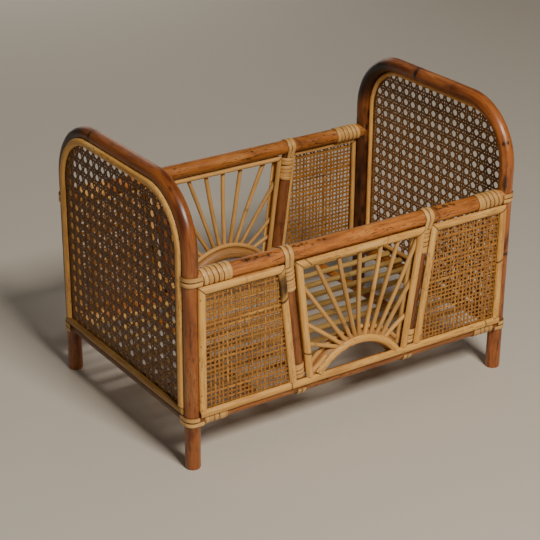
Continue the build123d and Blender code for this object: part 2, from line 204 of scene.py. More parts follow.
def half_round():
    """Outline of a half-round strip, flat side at 0, domed towards +n, its low edges eased."""
    edge, flat = 0.25 * mm, 0.92 * strip_w
    turn = np.linspace(0, np.pi, 13)
    dome = np.stack([np.cos(turn) * strip_w, edge + np.sin(turn) * (strip_rise - edge)], axis=-1)
    return np.concatenate([dome, [[-flat, 0], [flat, 0]]])


def peel(width, thick, count):
    """Outline of a flat peel, its middle at 0; count points make its slightly crowned outer face."""
    across = np.linspace(0.5, -0.5, count)
    crown = 0.5 - 3.2 * np.abs(across) ** 3
    top = np.stack([across * width, crown * thick], axis=-1)
    bottom = np.array([[-0.47 * width, -0.5 * thick], [0.47 * width, -0.5 * thick]])
    return np.concatenate([top, bottom])


def painted_edge_shade(points, dark):
    """Painted shade: marks that darken both edges and the underside of a swept peel, as in the gaps
    between strands and turns.
    """
    mark = np.full(points.shape[:2], dark)
    mark[:, 1:-3] = 0
    return mark


def unit(vectors):
    return vectors / np.linalg.norm(vectors, axis=-1, keepdims=True)


def travelled(path):
    """How far along a path each of its points lies."""
    steps = np.linalg.norm(np.diff(path, axis=0), axis=1)
    return np.concatenate([[0], np.cumsum(steps)])


def sweep(path, outward, outline):
    """Points and straightened coordinates of an outline, (n or 1, m, 2), swept along a path."""
    outline = np.broadcast_to(outline, (len(path),) + outline.shape[-2:])
    along = unit(np.gradient(path, axis=0))
    outward = np.broadcast_to(np.asarray(outward, float), path.shape)
    across = unit(np.cross(outward, along))
    outward = np.cross(along, across)
    points = (path[:, None] + outline[..., :1] * across[:, None]
              + outline[..., 1:] * outward[:, None])
    # every strand reads a place of its own in the materials' noise
    distance = travelled(path) + rng.uniform(0, 40)
    side = np.broadcast_to(distance[:, None, None], outline.shape[:2] + (1,))
    shift = rng.uniform(-1, 1, 2)
    return points, np.concatenate([side, outline + shift], axis=-1)


def wander(distance, size, length, seed):
    """A slow irregular wave along a strand."""
    draw = np.random.default_rng(seed)
    total = 0
    for order in (1, 1.7, 2.9):
        total = total + np.sin(distance / length * 2 * np.pi * order + draw.uniform(0, 6.3)) / order
    return size * total / 2


def pole(path, outward, radius, seed, rings=(), stains=(), count=28, taper=0.0):
    """A round rattan pole: slightly uneven, with node rings and stains.

    rings: (distance, swell, darkness) along the path; stains: (distance, facing in degrees,
    half length, half width, darkness), with swells and half sizes in millimetres; taper: the
    length eased at both ends.
    """
    distance = travelled(path)[:, None]
    turn = np.linspace(0, 2 * np.pi, count, endpoint=False)[None]
    size = radius - 0.18 * mm + wander(distance, 0.12 * mm, 0.19, seed)
    size = size + wander(distance + turn * 0.01, 0.05 * mm, 0.033, seed + 50)
    size = size + 0.06 * mm * np.sin(3 * turn + seed)
    mark = np.zeros_like(size)
    for number, (place, swell, dark) in enumerate(rings):
        # a node is a low swelling with a narrow dark groove behind it
        gap = distance - place + 0.9 * mm * np.sin(turn + seed + number)
        swell, groove = swell * mm, gap - 1.2 * mm
        size = size + swell * np.exp(-(gap / (2.6 * mm)) ** 2)
        size = size - 1.2 * swell * np.exp(-(groove / (0.6 * mm)) ** 2)
        mark = np.maximum(mark, dark * np.exp(-(groove / (1.1 * mm)) ** 2))
        mark = np.maximum(mark, 0.35 * dark * np.exp(-(gap / (4 * mm)) ** 2))
    for place, facing, half_long, half_wide, dark in stains:
        round_it = (np.degrees(turn) - facing + 180) % 360 - 180
        along = (distance - place) / (half_long * mm)
        across = np.radians(round_it) * radius / (half_wide * mm)
        mark = np.maximum(mark, dark / (1 + (along ** 2 + across ** 2) ** 3))
    for tip in (distance[0], distance[-1]):
        size = size - np.clip(taper - np.abs(distance - tip), 0, None) * 0.7
    size = np.minimum(size, radius)                # never outside the CAD pole
    outline = size[..., None] * np.stack([np.cos(turn), np.sin(turn)], axis=-1)
    points, fibre = sweep(path, outward, outline)
    return points, fibre, mark


def line(start, end, step=3 * mm):
    start, end = np.asarray(start, float), np.asarray(end, float)
    count = max(3, int(np.linalg.norm(end - start) / step) + 1)
    return start + (end - start) * np.linspace(0, 1, count)[:, None]


def arch_path(end, half_span, low, top, radius, out, step=3 * mm):
    """Up one leg, over and down the other, at a hoop's plane."""
    arc = np.linspace(0, np.pi / 2, int(radius * np.pi / 2 / step) + 2)[1:-1]
    left = [(-half_span, z) for z in np.arange(low, top - radius, step)]
    left += [(-half_span + radius * (1 - math.cos(a)), top - radius + radius * math.sin(a))
             for a in np.concatenate([[0], arc])]
    run = half_span - radius
    flat = [(y, top) for y in np.linspace(-run, run, int(2 * run / step) + 2)]
    right = [(-y, z) for y, z in reversed(left)]
    return np.array([end_point(end, y, z, out) for y, z in left + flat + right])


def clip_line(origin, direction, walls):
    """Reach, both ways, of a 2-D line inside walls given as (point, inward normal).

    None where nothing, or less than 2 mm, is left of it.
    """
    low, high = -10.0, 10.0                        # further than any wall
    for point, inward in walls:
        rate = np.dot(direction, inward)
        room = np.dot(np.subtract(origin, point), inward)
        if abs(rate) < 1e-9:
            if room < 0:
                return None
        elif rate > 0:
            low = max(low, -room / rate)
        else:
            high = min(high, -room / rate)
    return (low, high) if high - low > 2 * mm else None


# ---------------------------------------- materials


def feed(tree, made, inputs):
    """Set a node's inputs, or link them where another node's output is given."""
    for key, value in inputs.items():
        if isinstance(value, bpy.types.NodeSocket):
            tree.links.new(value, made.inputs[key])
        else:
            made.inputs[key].default_value = value


def node(tree, kind, inputs=None, **settings):
    made = tree.nodes.new(kind)
    for key, value in settings.items():
        setattr(made, key, value)
    feed(tree, made, inputs or {})
    return made


def ramp(tree, factor, low, high):
    """A smooth step of a grey value from 0 at low to 1 at high."""
    return node(tree, "ShaderNodeMapRange", {"Value": factor, "From Min": low, "From Max": high},
                interpolation_type="SMOOTHSTEP").outputs["Result"]


def grain(tree, vector, along, across, detail):
    """Noise with so many waves to the metre along a strand and across it."""
    stretched = node(tree, "ShaderNodeMapping", {"Vector": vector, "Scale": (along, across, across)})
    return node(tree, "ShaderNodeTexNoise", {"Vector": stretched.outputs[0], "Scale": 1.0,
                                             "Detail": detail, "Roughness": 0.55}).outputs["Fac"]


def times(tree, a, b):
    return node(tree, "ShaderNodeMath", {0: a, 1: b}, operation="MULTIPLY").outputs[0]


def mix(tree, factor, a, b):
    """Colour a where the factor is 0, b where it is 1; the sockets share names, so by number."""
    return node(tree, "ShaderNodeMix", {0: factor, 6: a, 7: b}, data_type="RGBA").outputs[2]


def colour(red, green, blue):
    """A linear colour from the usual 0 to 255 values."""
    linear = [v / 12.92 if v <= 0.04045 else ((v + 0.055) / 1.055) ** 2.4
              for v in (red / 255, green / 255, blue / 255)]
    return (*linear, 1.0)


def new_material(name):
    """A material with its tree and its Principled shader."""
    material = bpy.data.materials.new(name)
    material.use_nodes = True
    return material, material.node_tree, material.node_tree.nodes["Principled BSDF"]


def rattan(name, base, dark, light, stain, streak, flecks, patches, rough, coat=0.0, bump=0.25,
           gloss=0.5):
    """Fibrous cane: streaks along the strand, patches, flecks, node marks, painted edge shade and tone.

    Its four colours are given in 0 to 255 values; streak, flecks and patches are strengths.
    """
    base, dark, light, stain = (colour(*shade) for shade in (base, dark, light, stain))
    material, tree, shader = new_material(name)
    fibre = node(tree, "ShaderNodeAttribute", attribute_name="fibre").outputs["Vector"]
    mark = node(tree, "ShaderNodeAttribute", attribute_name="mark").outputs["Fac"]
    tone = node(tree, "ShaderNodeAttribute", attribute_name="tone").outputs["Fac"]
    broad = grain(tree, fibre, 26, 420, 2.0)
    fine = grain(tree, fibre, 65, 1680, 3.0)
    patch = grain(tree, fibre, 20, 75, 4.0)
    paint = mix(tree, times(tree, ramp(tree, broad, 0.42, 0.68), streak), base, dark)
    paint = mix(tree, times(tree, ramp(tree, fine, 0.5, 0.72), streak * 0.8), paint, light)
    paint = mix(tree, times(tree, ramp(tree, patch, 0.5, 0.72), patches), paint, dark)
    paint = mix(tree, times(tree, ramp(tree, patch, 0.45, 0.28), patches * 0.8), paint, light)
    # flecks gather in clusters
    cluster = ramp(tree, grain(tree, fibre, 9, 40, 1.0), 0.4, 0.58)
    speck = times(tree, ramp(tree, grain(tree, fibre, 150, 700, 2.0), 0.57, 0.65), cluster)
    paint = mix(tree, times(tree, speck, flecks), paint, stain)
    shade = node(tree, "ShaderNodeMath", {0: tone, 1: 1.0}, operation="ADD").outputs[0]
    paint = node(tree, "ShaderNodeVectorMath", {0: paint, "Scale": shade}, operation="SCALE").outputs[0]
    # marks are a little worn along the fibres
    worn = node(tree, "ShaderNodeMapRange", {"Value": fine, "From Min": 0.38, "From Max": 0.56,
                                             "To Min": 0.85, "To Max": 1.15}).outputs["Result"]
    paint = mix(tree, times(tree, mark, worn), paint, stain)
    sheen = node(tree, "ShaderNodeMapRange", {"Value": fine, "From Min": 0.3, "From Max": 0.7,
                                              "To Min": rough[0], "To Max": rough[1]})
    ridge = node(tree, "ShaderNodeMath", {0: fine, 1: broad}, operation="ADD").outputs[0]
    raised = node(tree, "ShaderNodeBump", {"Height": ridge, "Strength": bump, "Distance": 0.25 * mm})
    feed(tree, shader, {"Base Color": paint, "Roughness": sheen.outputs["Result"],
                        "Normal": raised.outputs["Normal"], "Specular IOR Level": gloss,
                        "Coat Weight": coat, "Coat Roughness": 0.3})
    return material


pole_skin = rattan("pole_skin", (190, 116, 52), (118, 62, 24), (214, 154, 86), (28, 15, 8),
                   streak=0.45, flecks=0.75, patches=0.85, rough=(0.36, 0.55), coat=0.12, bump=0.4,
                   gloss=0.4)
hoop_skin = rattan("hoop_skin", (194, 110, 50), (112, 52, 22), (218, 150, 84), (20, 12, 8),
                   streak=0.5, flecks=0.5, patches=0.95, rough=(0.3, 0.46), coat=0.25, bump=0.4,
                   gloss=0.45)
strut_skin = rattan("strut_skin", (136, 80, 40), (86, 44, 18), (168, 112, 60), (40, 22, 10),
                    streak=0.6, flecks=0.5, patches=0.6, rough=(0.4, 0.6), coat=0.05)
arch_skin = rattan("arch_skin", (166, 116, 62), (116, 74, 34), (200, 152, 92), (50, 30, 14),
                   streak=0.5, flecks=0.4, patches=0.5, rough=(0.42, 0.6))
strip_skin = rattan("strip_skin", (226, 170, 88), (166, 108, 46), (240, 200, 132), (52, 30, 14),
                    streak=0.55, flecks=0.5, patches=0.5, rough=(0.42, 0.6))
reed_skin = rattan("reed_skin", (214, 162, 90), (168, 114, 52), (234, 194, 128), (66, 40, 18),
                   streak=0.5, flecks=0.2, patches=0.4, rough=(0.48, 0.66))
slat_skin = rattan("slat_skin", (186, 148, 80), (128, 92, 40), (210, 180, 114), (60, 38, 18),
                   streak=0.6, flecks=0.25, patches=0.55, rough=(0.5, 0.7))
peel_skin = rattan("peel_skin", (216, 166, 96), (166, 112, 54), (236, 198, 134), (70, 42, 20),
                   streak=0.55, flecks=0.15, patches=0.45, rough=(0.36, 0.54), coat=0.05)
cane_skin = rattan("cane_skin", (190, 128, 54), (116, 68, 24), (226, 172, 90), (44, 22, 8),
                   streak=0.55, flecks=0.2, patches=0.7, rough=(0.42, 0.6))
# lit and shaded copies of one webbing: the head end's, facing into the cot, painted lighter; the foot
# end's, facing out, painted darker
lit_and_shaded_web_skin = {"foot": rattan("foot_web_shaded", (132, 86, 42), (86, 51, 21), (162, 116, 67),
                           (42, 25, 10), streak=0.5, flecks=0.15, patches=0.5, rough=(0.4, 0.58)),
            "head": rattan("head_web_lit", (188, 136, 78), (132, 90, 46), (214, 166, 108),
                           (78, 52, 28), streak=0.5, flecks=0.15, patches=0.5, rough=(0.4, 0.58))}


def steel():
    """Dull brown brad heads, near the strips' colour: none stands out in the photo."""
    material, tree, shader = new_material("brad_steel")
    place = node(tree, "ShaderNodeTexCoord").outputs["Object"]
    rust = node(tree, "ShaderNodeTexNoise", {"Vector": place, "Scale": 900.0, "Detail": 2.0})
    paint = mix(tree, ramp(tree, rust.outputs["Fac"], 0.45, 0.62), colour(196, 154, 96),
                colour(150, 104, 58))
    feed(tree, shader, {"Base Color": paint, "Metallic": 0.35, "Roughness": 0.45})
    return material


# ---------------------------------------- end hoops
hoop_painted_shade = {"foot": -0.42, "head": -0.28}        # painted shade: darker than the top rails, the foot hoop most
# node rings on the flat top: Y, swell, darkness
hoop_rings = {"foot": [(0.057, 0.36, 1.0), (-0.03, 0.12, 0.35)],
              "head": [(0.024, 0.34, 1.0), (-0.04, 0.12, 0.4)]}
# Stains, as in pole(), the distance from the front leg's foot. A facing of 90 is away from the
# cot; 0 is out of the arch on the head hoop and into it on the foot hoop. The first of the head
# hoop's is the dark slot in its front leg. The long dark patches on the sides facing -X, over the
# shoulders and down the head hoop's back leg, are part scorch and part painted shade.
hoop_stains_and_shade = {"foot": [(0.456, 120, 1.8, 7, 0.9), (0.512, 110, 46, 9, 0.9), (0.505, 180, 36, 8, 0.6),
                        (0.64, 100, 70, 7, 0.6), (0.30, 150, 3, 1.5, 0.6), (0.230, 196, 9, 0.9, 0.5),
                        (0.236, 207, 13, 1.1, 0.7), (0.222, 220, 10, 1.4, 0.7),
                        (0.252, 214, 7, 1.0, 0.6)],
               "head": [(0.226, 312, 9.5, 2.3, 1.0), (0.268, 312, 2.2, 1.7, 1.0),
                        (0.268, 347, 1.8, 1.6, 1.0), (0.52, 268, 48, 9, 1.0), (0.52, 205, 46, 7, 0.9),
                        (0.505, 325, 26, 5, 0.5), (0.385, 20, 3, 1.6, 0.8), (0.142, 15, 1.8, 5, 1.0),
                        (0.430, 295, 2.2, 7, 1.0), (0.69, 228, 130, 13, 0.72)]}
stain_draw = np.random.default_rng(77)


def random_stains(count, place, facing, half_long, half_wide, dark):
    """Stains drawn between the two limits given for each measure."""
    return [tuple(stain_draw.uniform(*limits)
                  for limits in (place, facing, half_long, half_wide, dark)) for _ in range(count)]


# the head hoop's back leg is mottled black, and both hoops have a few small specks
hoop_stains_and_shade["head"] += random_stains(46, (0.56, 0.80), (165, 300), (3, 9), (1.6, 3.2), (0.7, 1.0))
for end, _ in ends:
    hoop_stains_and_shade[end] += random_stains(16, (0.02, 0.45), (0, 360), (1.5, 5), (1, 1.8), (0.3, 0.7))
for end, sign in ends:
    path = arch_path(sign, half_width, 0, hoop_top[end], shoulder, 0, step=1.2 * mm)
    over_shoulder = hoop_top[end] - shoulder + shoulder * math.pi / 2
    rings = [(over_shoulder + y + half_width - shoulder, swell, dark)
             for y, swell, dark in hoop_rings[end]]
    single(pole(path, (sign, 0, 0), hoop_r, 11 + sign, rings, hoop_stains_and_shade[end], 32, 0.8 * mm),
           hoop_painted_shade[end], f"{end}_hoop_pole", hoop_skin, "pole", f"{end}_hoop")

# ---------------------------------------- rails, coped to the legs


def cope(points, axis, reach, sideways, middle_of):
    """Shear a rail's rings along its axis so that both ends close round the legs' poles."""
    side_gap = points[..., sideways] - middle_of
    saddle = reach - np.sqrt(np.clip(hoop_r ** 2 - side_gap ** 2, 0, None))
    points[..., axis] = points[..., axis] / reach * saddle
    return points


rail_rings = {"top": [(0.302, 0.25, 0.6)], "bottom": [(0.13, 0.2, 0.5)]}
# painted shade: the bottom rails are darkened as if shaded by the strips above them, the back top rail
# a little
rail_painted_shade = {("front", "top"): 0.0, ("front", "bottom"): -0.32,
              ("back", "top"): -0.18, ("back", "bottom"): -0.32}
rail_seed = {"top": 3, "bottom": 6}
# scraped bark, along the front top rail's upper face and the back one's lower face
rail_stains = {("front", "top"): [], ("back", "top"): []}
for side, groups in (("front", ((0.05, 0.088), (0.112, 0.155), (0.30, 0.33))),
                     ("back", ((0.09, 0.13), (0.2, 0.26)))):
    for limits in groups:
        rail_stains[side, "top"] += [
            (stain_draw.uniform(*limits), stain_draw.normal(24, 7), stain_draw.uniform(0.9, 2.6),
             stain_draw.uniform(0.7, 1.0), stain_draw.uniform(0.7, 1.0)) for _ in range(16)]
for side, sign in sides:
    for level, z in rail_z.items():
        path = line(side_point(sign, -half_length, z, 0), side_point(sign, half_length, z, 0), 1.5 * mm)
        points, fibre, mark = pole(path, (0, sign, 0), rail_r[level], 3 * sign + rail_seed[level],
                                   rail_rings[level], rail_stains.get((side, level), ()), 36)
        points = cope(points, 0, half_length, 1, sign * half_width)
        single((points, fibre, mark), rail_painted_shade[side, level],
               f"{side}_{level}_rail_pole", pole_skin, "pole", f"{side}_{level}_rail")

# painted shade: the cross rails are darkened, the one at the shaded foot end most
cross_rail_painted_shade = {"foot": -0.72, "head": -0.45}
for end, sign in ends:
    z = rail_z["bottom"]
    path = line(end_point(sign, -half_width, z, 0), end_point(sign, half_width, z, 0), 2.5 * mm)
    points, fibre, mark = pole(path, (sign, 0, 0), rail_r["bottom"], 31 + sign)
    points = cope(points, 1, half_width, 0, sign * half_length)
    single((points, fibre, mark), cross_rail_painted_shade[end],
           f"{end}_cross_rail_pole", pole_skin, "pole", f"{end}_cross_rail")

# ---------------------------------------- struts, coped to the rails
for side, sign, end, way in corners_of_cot:
    low, high = strut_ends(side, sign, end, way)
    points, fibre, mark = pole(line(low, high, 2.5 * mm), (0, sign, 0), strut_r,
                               41 + 2 * sign + way, [(0.06, 0.2, 0.35)])
    share = (points[..., 2] - low[2]) / (high[2] - low[2])
    gap = points[..., 1] - sign * half_width
    floor = low[2] + np.sqrt(np.clip(rail_r["bottom"] ** 2 - gap ** 2, 0, None))
    ceiling = high[2] - np.sqrt(np.clip(rail_r["top"] ** 2 - gap ** 2, 0, None))
    points[..., 2] = floor + share * (ceiling - floor)
    single((points, fibre, mark), 0,
           f"{side}_{end}_strut_pole", strut_skin, "strut_pole", f"{side}_{end}_strut")

# ---------------------------------------- sunbursts
# each ray's place round the arch, in degrees from its top towards the head end, and the way it
# points, in degrees up from +X
rays = {"front": [(-36, 216), (-24, 160), (-19, 142), (-13, 126), (-7, 116), (-2, 104),
                  (2, 91), (9, 80), (16, 72), (23, 63), (30, 56), (35, 35)],
        "back": [(-31, 152), (-22, 133), (-14, 120), (-8, 110), (-2, 101), (3, 91),
                 (9, 81), (14, 67), (20, 55), (27, 40), (34, 26)]}
ray_foot = arch_r + 3.6 * mm


def arch_ring(sign, radius, out, lowest, count):
    """Half circle over the arch's centre, its ends at height lowest."""
    reach = math.acos((lowest - arch_z) / radius)
    turn = np.linspace(-reach, reach, count)
    return np.array([side_point(sign, radius * math.sin(a), arch_z + radius * math.cos(a), out)
                     for a in turn])


for side, sign in sides:
    path = arch_ring(sign, arch_r, 0, rail_z["bottom"] + 5 * mm, 70)
    single(pole(path, (0, sign, 0), arch_tube, 60 + sign), 0,
           f"{side}_arch_bent_pole", arch_skin, "strut_pole", f"{side}_arch_pole")
    path = arch_ring(sign, arch_r, seat, strip_low + strip_w, 60)
    single(sweep(path, (0, sign, 0), half_round()), 0,
           f"{side}_arch_strip", strip_skin, "strip", f"{side}_arch_trim")
    path = arch_ring(sign, arch_r + arch_tube + reed_r, sun_reed, rail_z["bottom"] + 22 * mm, 60)
    single(pole(path, (0, sign, 0), reed_r, 70 + sign, count=14), 0,
           f"{side}_arch_inner_reed", reed_skin, "reed", f"{side}_arch_inner_trim")

    bag = Bag()
    walls = [((0, strip_high), (0, -1)), ((0, strip_low + 6 * mm), (0, 1))]
    for end, way in ends:
        bay = (side, end)
        walls.append(((way * strut_at(bay, strip_high, -struts[bay][2]), strip_high),
                      (-way * math.cos(lean(bay)), math.sin(lean(bay)))))
    for number, (around, pointing) in enumerate(rays[side]):
        around, pointing = math.radians(around), math.radians(pointing)
        start = np.array([math.sin(around), math.cos(around)]) * ray_foot + (0, arch_z)
        heading = np.array([math.cos(pointing), math.sin(pointing)])
        _, far = clip_line(start, heading, walls)
        stop = start + heading * far
        path = line(side_point(sign, *start, ray_out), side_point(sign, *stop, ray_out))
        bow = rng.uniform(-1.1, 1.1) * mm * np.sin(np.linspace(0, np.pi, len(path)))
        path = path + bow[:, None] * np.array([-heading[1], 0, heading[0]])
        rings = [(0.02 + 0.009 * (number % 4), 0.12, 0.45)] if number % 3 == 1 else ()
        points, fibre, mark = pole(path, (0, sign, 0), ray_r, 80 + number + 20 * sign, rings, count=12)
        bag.grid(points, fibre, mark, rng.uniform(-0.28, 0.12))
    bag.build(f"{side}_sun_ray_reeds", reed_skin, "reed", f"{side}_sun_rays")

# ---------------------------------------- strips and reeds round the bays
joint_gap = 0.12 * mm
unmarked = ((), (), ())


def mitred(bag, start, end, outward, outline, tone, marks=(), start_cut=None, end_cut=None):
    """A straight strip whose ends are cut along planes with those normals.

    marks: (distance from its start, half length in millimetres, darkness).
    """
    path = line(start, end, 0.8 * mm if marks else 3 * mm)
    points, fibre = sweep(path, outward, outline)
    along = unit(end - start)
    share = np.linspace(0, 1, len(path))[:, None]
    ring = points[0] - path[0]
    shift = np.zeros(points.shape[:2])
    for cut, weight in ((start_cut, 1 - share), (end_cut, share)):
        if cut is not None:
            shift = shift + weight * (-(ring @ cut) / np.dot(along, cut))
    points = points + shift[..., None] * along
    distance = np.linalg.norm(path - start, axis=1)[:, None]
    bend = wander(distance, 0.12 * mm, 0.11, len(bag.points) + bag.count)
    points = points + bend[..., None] * unit(np.cross(outward, along))
    mark = np.zeros(points.shape[:2])
    for place, half, dark in marks:
        mark = np.maximum(mark, dark * np.exp(-((distance - place) / (half * mm)) ** 4))
    bag.grid(points, fibre, mark, tone)


def three_sided(bag, sign, corners, out, outline, marks=unmarked):
    """Strips up one side of a bay, along its top and down the other, with dark mitred corners."""
    places = [side_point(sign, x, z, out) for x, z in corners]
    ways = [unit(b - a) for a, b in zip(places, places[1:])]
    level = np.array([0, 0, 1.0])
    cuts = [level, unit(ways[0] + ways[1]), unit(ways[1] + ways[2]), level]
    for index, way in enumerate(ways):
        start, end = places[index], places[index + 1]
        cut_marks = ()
        if index > 0:
            cut_marks += ((0, 0.75, 1.0),)
        if index < 2:
            cut_marks += ((np.linalg.norm(end - start), 0.85, 1.0),)
        mitred(bag, start + (way * joint_gap if index > 0 else 0),
               end - (way * joint_gap if index < 2 else 0), (0, sign, 0), outline,
               rng.uniform(-0.06, 0.05), marks[index] + cut_marks, cuts[index], cuts[index + 1])


def cane_bay(bay, way, from_post, from_strut, low, high):
    """Corners round a cane bay: up beside the post, along the top, down beside the strut."""
    post = way * (half_length - from_post)
    return [(post, low), (post, high), (way * strut_at(bay, high, from_strut), high),
            (way * strut_at(bay, low, from_strut), low)]


def sun_bay(side, low, high, from_strut=None):
    """Corners round a sunburst bay, up on the foot side and down on the head side."""
    near = {}
    for end, way in ends:
        gap = from_strut or struts[side, end][2]
        near[end] = [(way * strut_at((side, end), z, -gap), z) for z in (low, high)]
    return near["foot"] + near["head"][::-1]


# joints, scorched lengths and node rings of a bay's three strips, as marks in mitred()
cane_marks = {("front", "foot"): ((), ((0.05, 0.6, 0.5),),
                                  ((0.017, 14, 0.9), (0.034, 1.4, 1.0))),
              ("front", "head"): (((0.070, 0.9, 1.0),), (), ((0.07, 0.6, 0.4),)),
              ("back", "head"): (((0.08, 0.7, 0.8),), ((0.03, 0.7, 0.6),), ())}
sun_marks = {"front": (((0.028, 0.9, 1.0),), ((0.0115, 0.7, 0.9), (0.11, 0.5, 0.4)),
                       ((0.05, 0.5, 0.35),)),
             "back": ((), ((0.05, 0.7, 0.7),), ((0.03, 0.7, 0.8),))}
bottom_joints = {"front": [-86 * mm, 176 * mm], "back": [-176 * mm, 86 * mm]}
outer_foot = strip_low + strip_w + 0.05 * mm       # the side strips stand on the bottom strip
for side, sign in sides:
    for end, way in ends:
        bay = (side, end)
        bag = Bag()
        three_sided(bag, sign, cane_bay(bay, way, post_gap, struts[bay][2], outer_foot, strip_high),
                    seat, half_round(), cane_marks.get(bay, unmarked))
        bag.build(f"{side}_{end}_cane_strips", strip_skin, "strip", f"{side}_{end}_cane_frame")
        bag = Bag()
        three_sided(bag, sign, cane_bay(bay, way, reed_gap, reed_gap, reed_low, reed_high),
                    panel_reed, circle(reed_r, 12))
        bag.build(f"{side}_{end}_cane_reeds", reed_skin, "reed", f"{side}_{end}_cane_inner_frame")

    bag = Bag()
    three_sided(bag, sign, sun_bay(side, outer_foot, strip_high), seat, half_round(), sun_marks[side])
    bag.build(f"{side}_sun_strips", strip_skin, "strip", f"{side}_sun_frame")
    bag = Bag()
    three_sided(bag, sign, sun_bay(side, rail_z["bottom"] + 14 * mm, reed_high, reed_gap), sun_reed,
                circle(reed_r, 12))
    bag.build(f"{side}_sun_reeds", reed_skin, "reed", f"{side}_sun_inner_frame")

    half_run = half_length - post_gap + strip_w
    stops = [-half_run] + bottom_joints[side] + [half_run]
    bag = Bag()
    for first, last in zip(stops, stops[1:]):
        mitred(bag, side_point(sign, first + joint_gap, strip_low, seat),
               side_point(sign, last - joint_gap, strip_low, seat), (0, sign, 0), half_round(),
               rng.uniform(-0.06, 0.04), ((0, 0.7, 0.95), (last - first, 0.8, 0.95)))
    bag.build(f"{side}_bottom_strips", strip_skin, "strip", f"{side}_bottom_trim")

# ---------------------------------------- strips and reeds of the ends
sill_z = middle("foot_outer_sill", 2)
inner_sill_z = middle("foot_inner_sill", 2)
# painted shade: the sill strips are darkened, the foot one most
sill_painted_shade = {"foot": -0.5, "head": -0.15}
# painted light: the head end's inner reed is lightened
reed_painted_light = {"foot": 0.0, "head": 0.4}
for end, sign in ends:
    path = arch_path(sign, half_width - post_gap, sill_z + strip_w, hoop_top[end] - post_gap,
                     shoulder - post_gap, seat)
    single(sweep(path, (sign, 0, 0), half_round()), 0,
           f"{end}_hoop_strip", strip_skin, "strip", f"{end}_outer_trim")

    path = arch_path(sign, half_width - reed_gap, inner_sill_z + reed_r + 0.2 * mm,
                     hoop_top[end] - reed_gap, shoulder - reed_gap, panel_reed)
    single(pole(path, (sign, 0, 0), reed_r, 90 + sign, count=14), reed_painted_light[end],
           f"{end}_hoop_reed", reed_skin, "reed", f"{end}_inner_trim")

    half_run = half_width - post_gap + strip_w
    bag = Bag()
    mitred(bag, end_point(sign, -half_run, sill_z, seat), end_point(sign, half_run, sill_z, seat),
           (sign, 0, 0), half_round(), sill_painted_shade[end])
    bag.build(f"{end}_sill_strip", strip_skin, "strip", f"{end}_outer_sill")

    half_run = half_width - reed_gap + reed_r
    path = line(end_point(sign, -half_run, inner_sill_z, panel_reed),
                end_point(sign, half_run, inner_sill_z, panel_reed))
    single(pole(path, (sign, 0, 0), reed_r, 95 + sign, count=14), 0,
           f"{end}_sill_reed", reed_skin, "reed", f"{end}_inner_sill")

# ---------------------------------------- cane webbing of the ends
# flat upright and level strands in woven pairs, with single slanting ones over and under them
web_pitch = 12.5 * mm
web_half_pair = 1.75 * mm
web_swing, slant_swing = 0.28 * mm, 0.44 * mm      # how far the strands go over and under
web_corner = shoulder - 5.9 * mm
web_margin = 0.3 * mm                              # kept clear at the CAD sheet's edge
web_reach = 0.36                                   # strands start this long both ways


def inside_web(y, z, half_span, bottom, top):
    """Which points lie in a sheet with two round upper corners."""
    deep_y = np.abs(y) - (half_span - web_corner)
    deep_z = z - (top - web_corner)
    rounded = (deep_y > 0) & (deep_z > 0) & (deep_y ** 2 + deep_z ** 2 > web_corner ** 2)
    return (np.abs(y) <= half_span) & (z >= bottom) & (z <= top) & ~rounded


def web_strand(bag, sign, sheet, origin, way, width, lift):
    """A flat strand along a line, cut to the sheet and lifted by a function of its place."""
    reach = np.arange(-web_reach, web_reach, web_pitch / 8)
    y = origin[0] + way[0] * reach
    z = origin[1] + way[1] * reach
    keep = inside_web(y, z, *sheet)
    if keep.sum() < 4:
        return
    y, z = y[keep], z[keep]
    _, bottom, top = sheet
    out = cane_mid + lift(y / web_pitch, (z - (bottom + top) / 2) / web_pitch)
    path = np.stack([sign * (half_length + out), y, z], axis=-1)
    points, fibre = sweep(path, (sign, 0, 0), peel(width, 0.5 * mm, 3))
    bag.grid(points, fibre, painted_edge_shade(points, 0.35), rng.uniform(-0.2, 0.12))


for end, sign in ends:
    low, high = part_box(f"{end}_webbing")
    sheet = half_span, bottom, top = (high.y - web_margin, low.z + web_margin, high.z - web_margin)
    centre_z = (bottom + top) / 2
    cells = int(half_span / web_pitch) + 2
    bag = Bag()
    for i in range(-cells, cells + 1):
        swing = -web_swing if i % 2 else web_swing
        for beside in (-web_half_pair, web_half_pair):
            place = i * web_pitch + (beside + rng.normal(0, 0.15 * mm))
            width = rng.uniform(1.9, 2.4) * mm
            web_strand(bag, sign, sheet, (place, centre_z), (0, 1), width,
                       lambda y, z: swing * np.cos(np.pi * z))
            web_strand(bag, sign, sheet, (0, centre_z + place), (1, 0), width,
                       lambda y, z: -swing * np.cos(np.pi * y))
    for k in range(-2 * cells, 2 * cells + 1):
        for slant in (1, -1):
            web_strand(bag, sign, sheet, ((k + 0.5) * web_pitch, centre_z),
                       np.array([slant, 1]) / math.sqrt(2), rng.uniform(2.2, 2.6) * mm,
                       lambda y, z: slant_swing * slant * np.cos(2 * np.pi * y))
    bag.build(f"{end}_cane_webbing", lit_and_shaded_web_skin[end], "end_webbing", f"{end}_webbing")

# ---------------------------------------- square side cane
cane_pitch = 5.0 * mm
cane_swing = 0.33 * mm                             # how far the strands go over and under
cane_tuck = 2 * mm                                 # how far the sheet runs on past the strips' middle
cane_wide, cane_high = 0.13, 0.16                  # more than a bay; strands outside it are left out
# painted light: the back side's cane is lightened, its head bay most; the front bays barely darker
cane_painted_light = {("front", "foot"): -0.02, ("front", "head"): -0.02,
              ("back", "foot"): 0.25, ("back", "head"): 0.6}


def cane_strand(bag, draw, sign, path, widths, shade):
    """A strand of one of four widths, the broadest rare, with a tone of its own."""
    width = draw.choice(widths, p=[0.3, 0.35, 0.25, 0.1]) * mm
    points, fibre = sweep(path, (0, sign, 0), peel(width, 0.55 * mm, 3))
    bag.grid(points, fibre, painted_edge_shade(points, 0.62), draw.uniform(-0.16, 0.16) + shade)


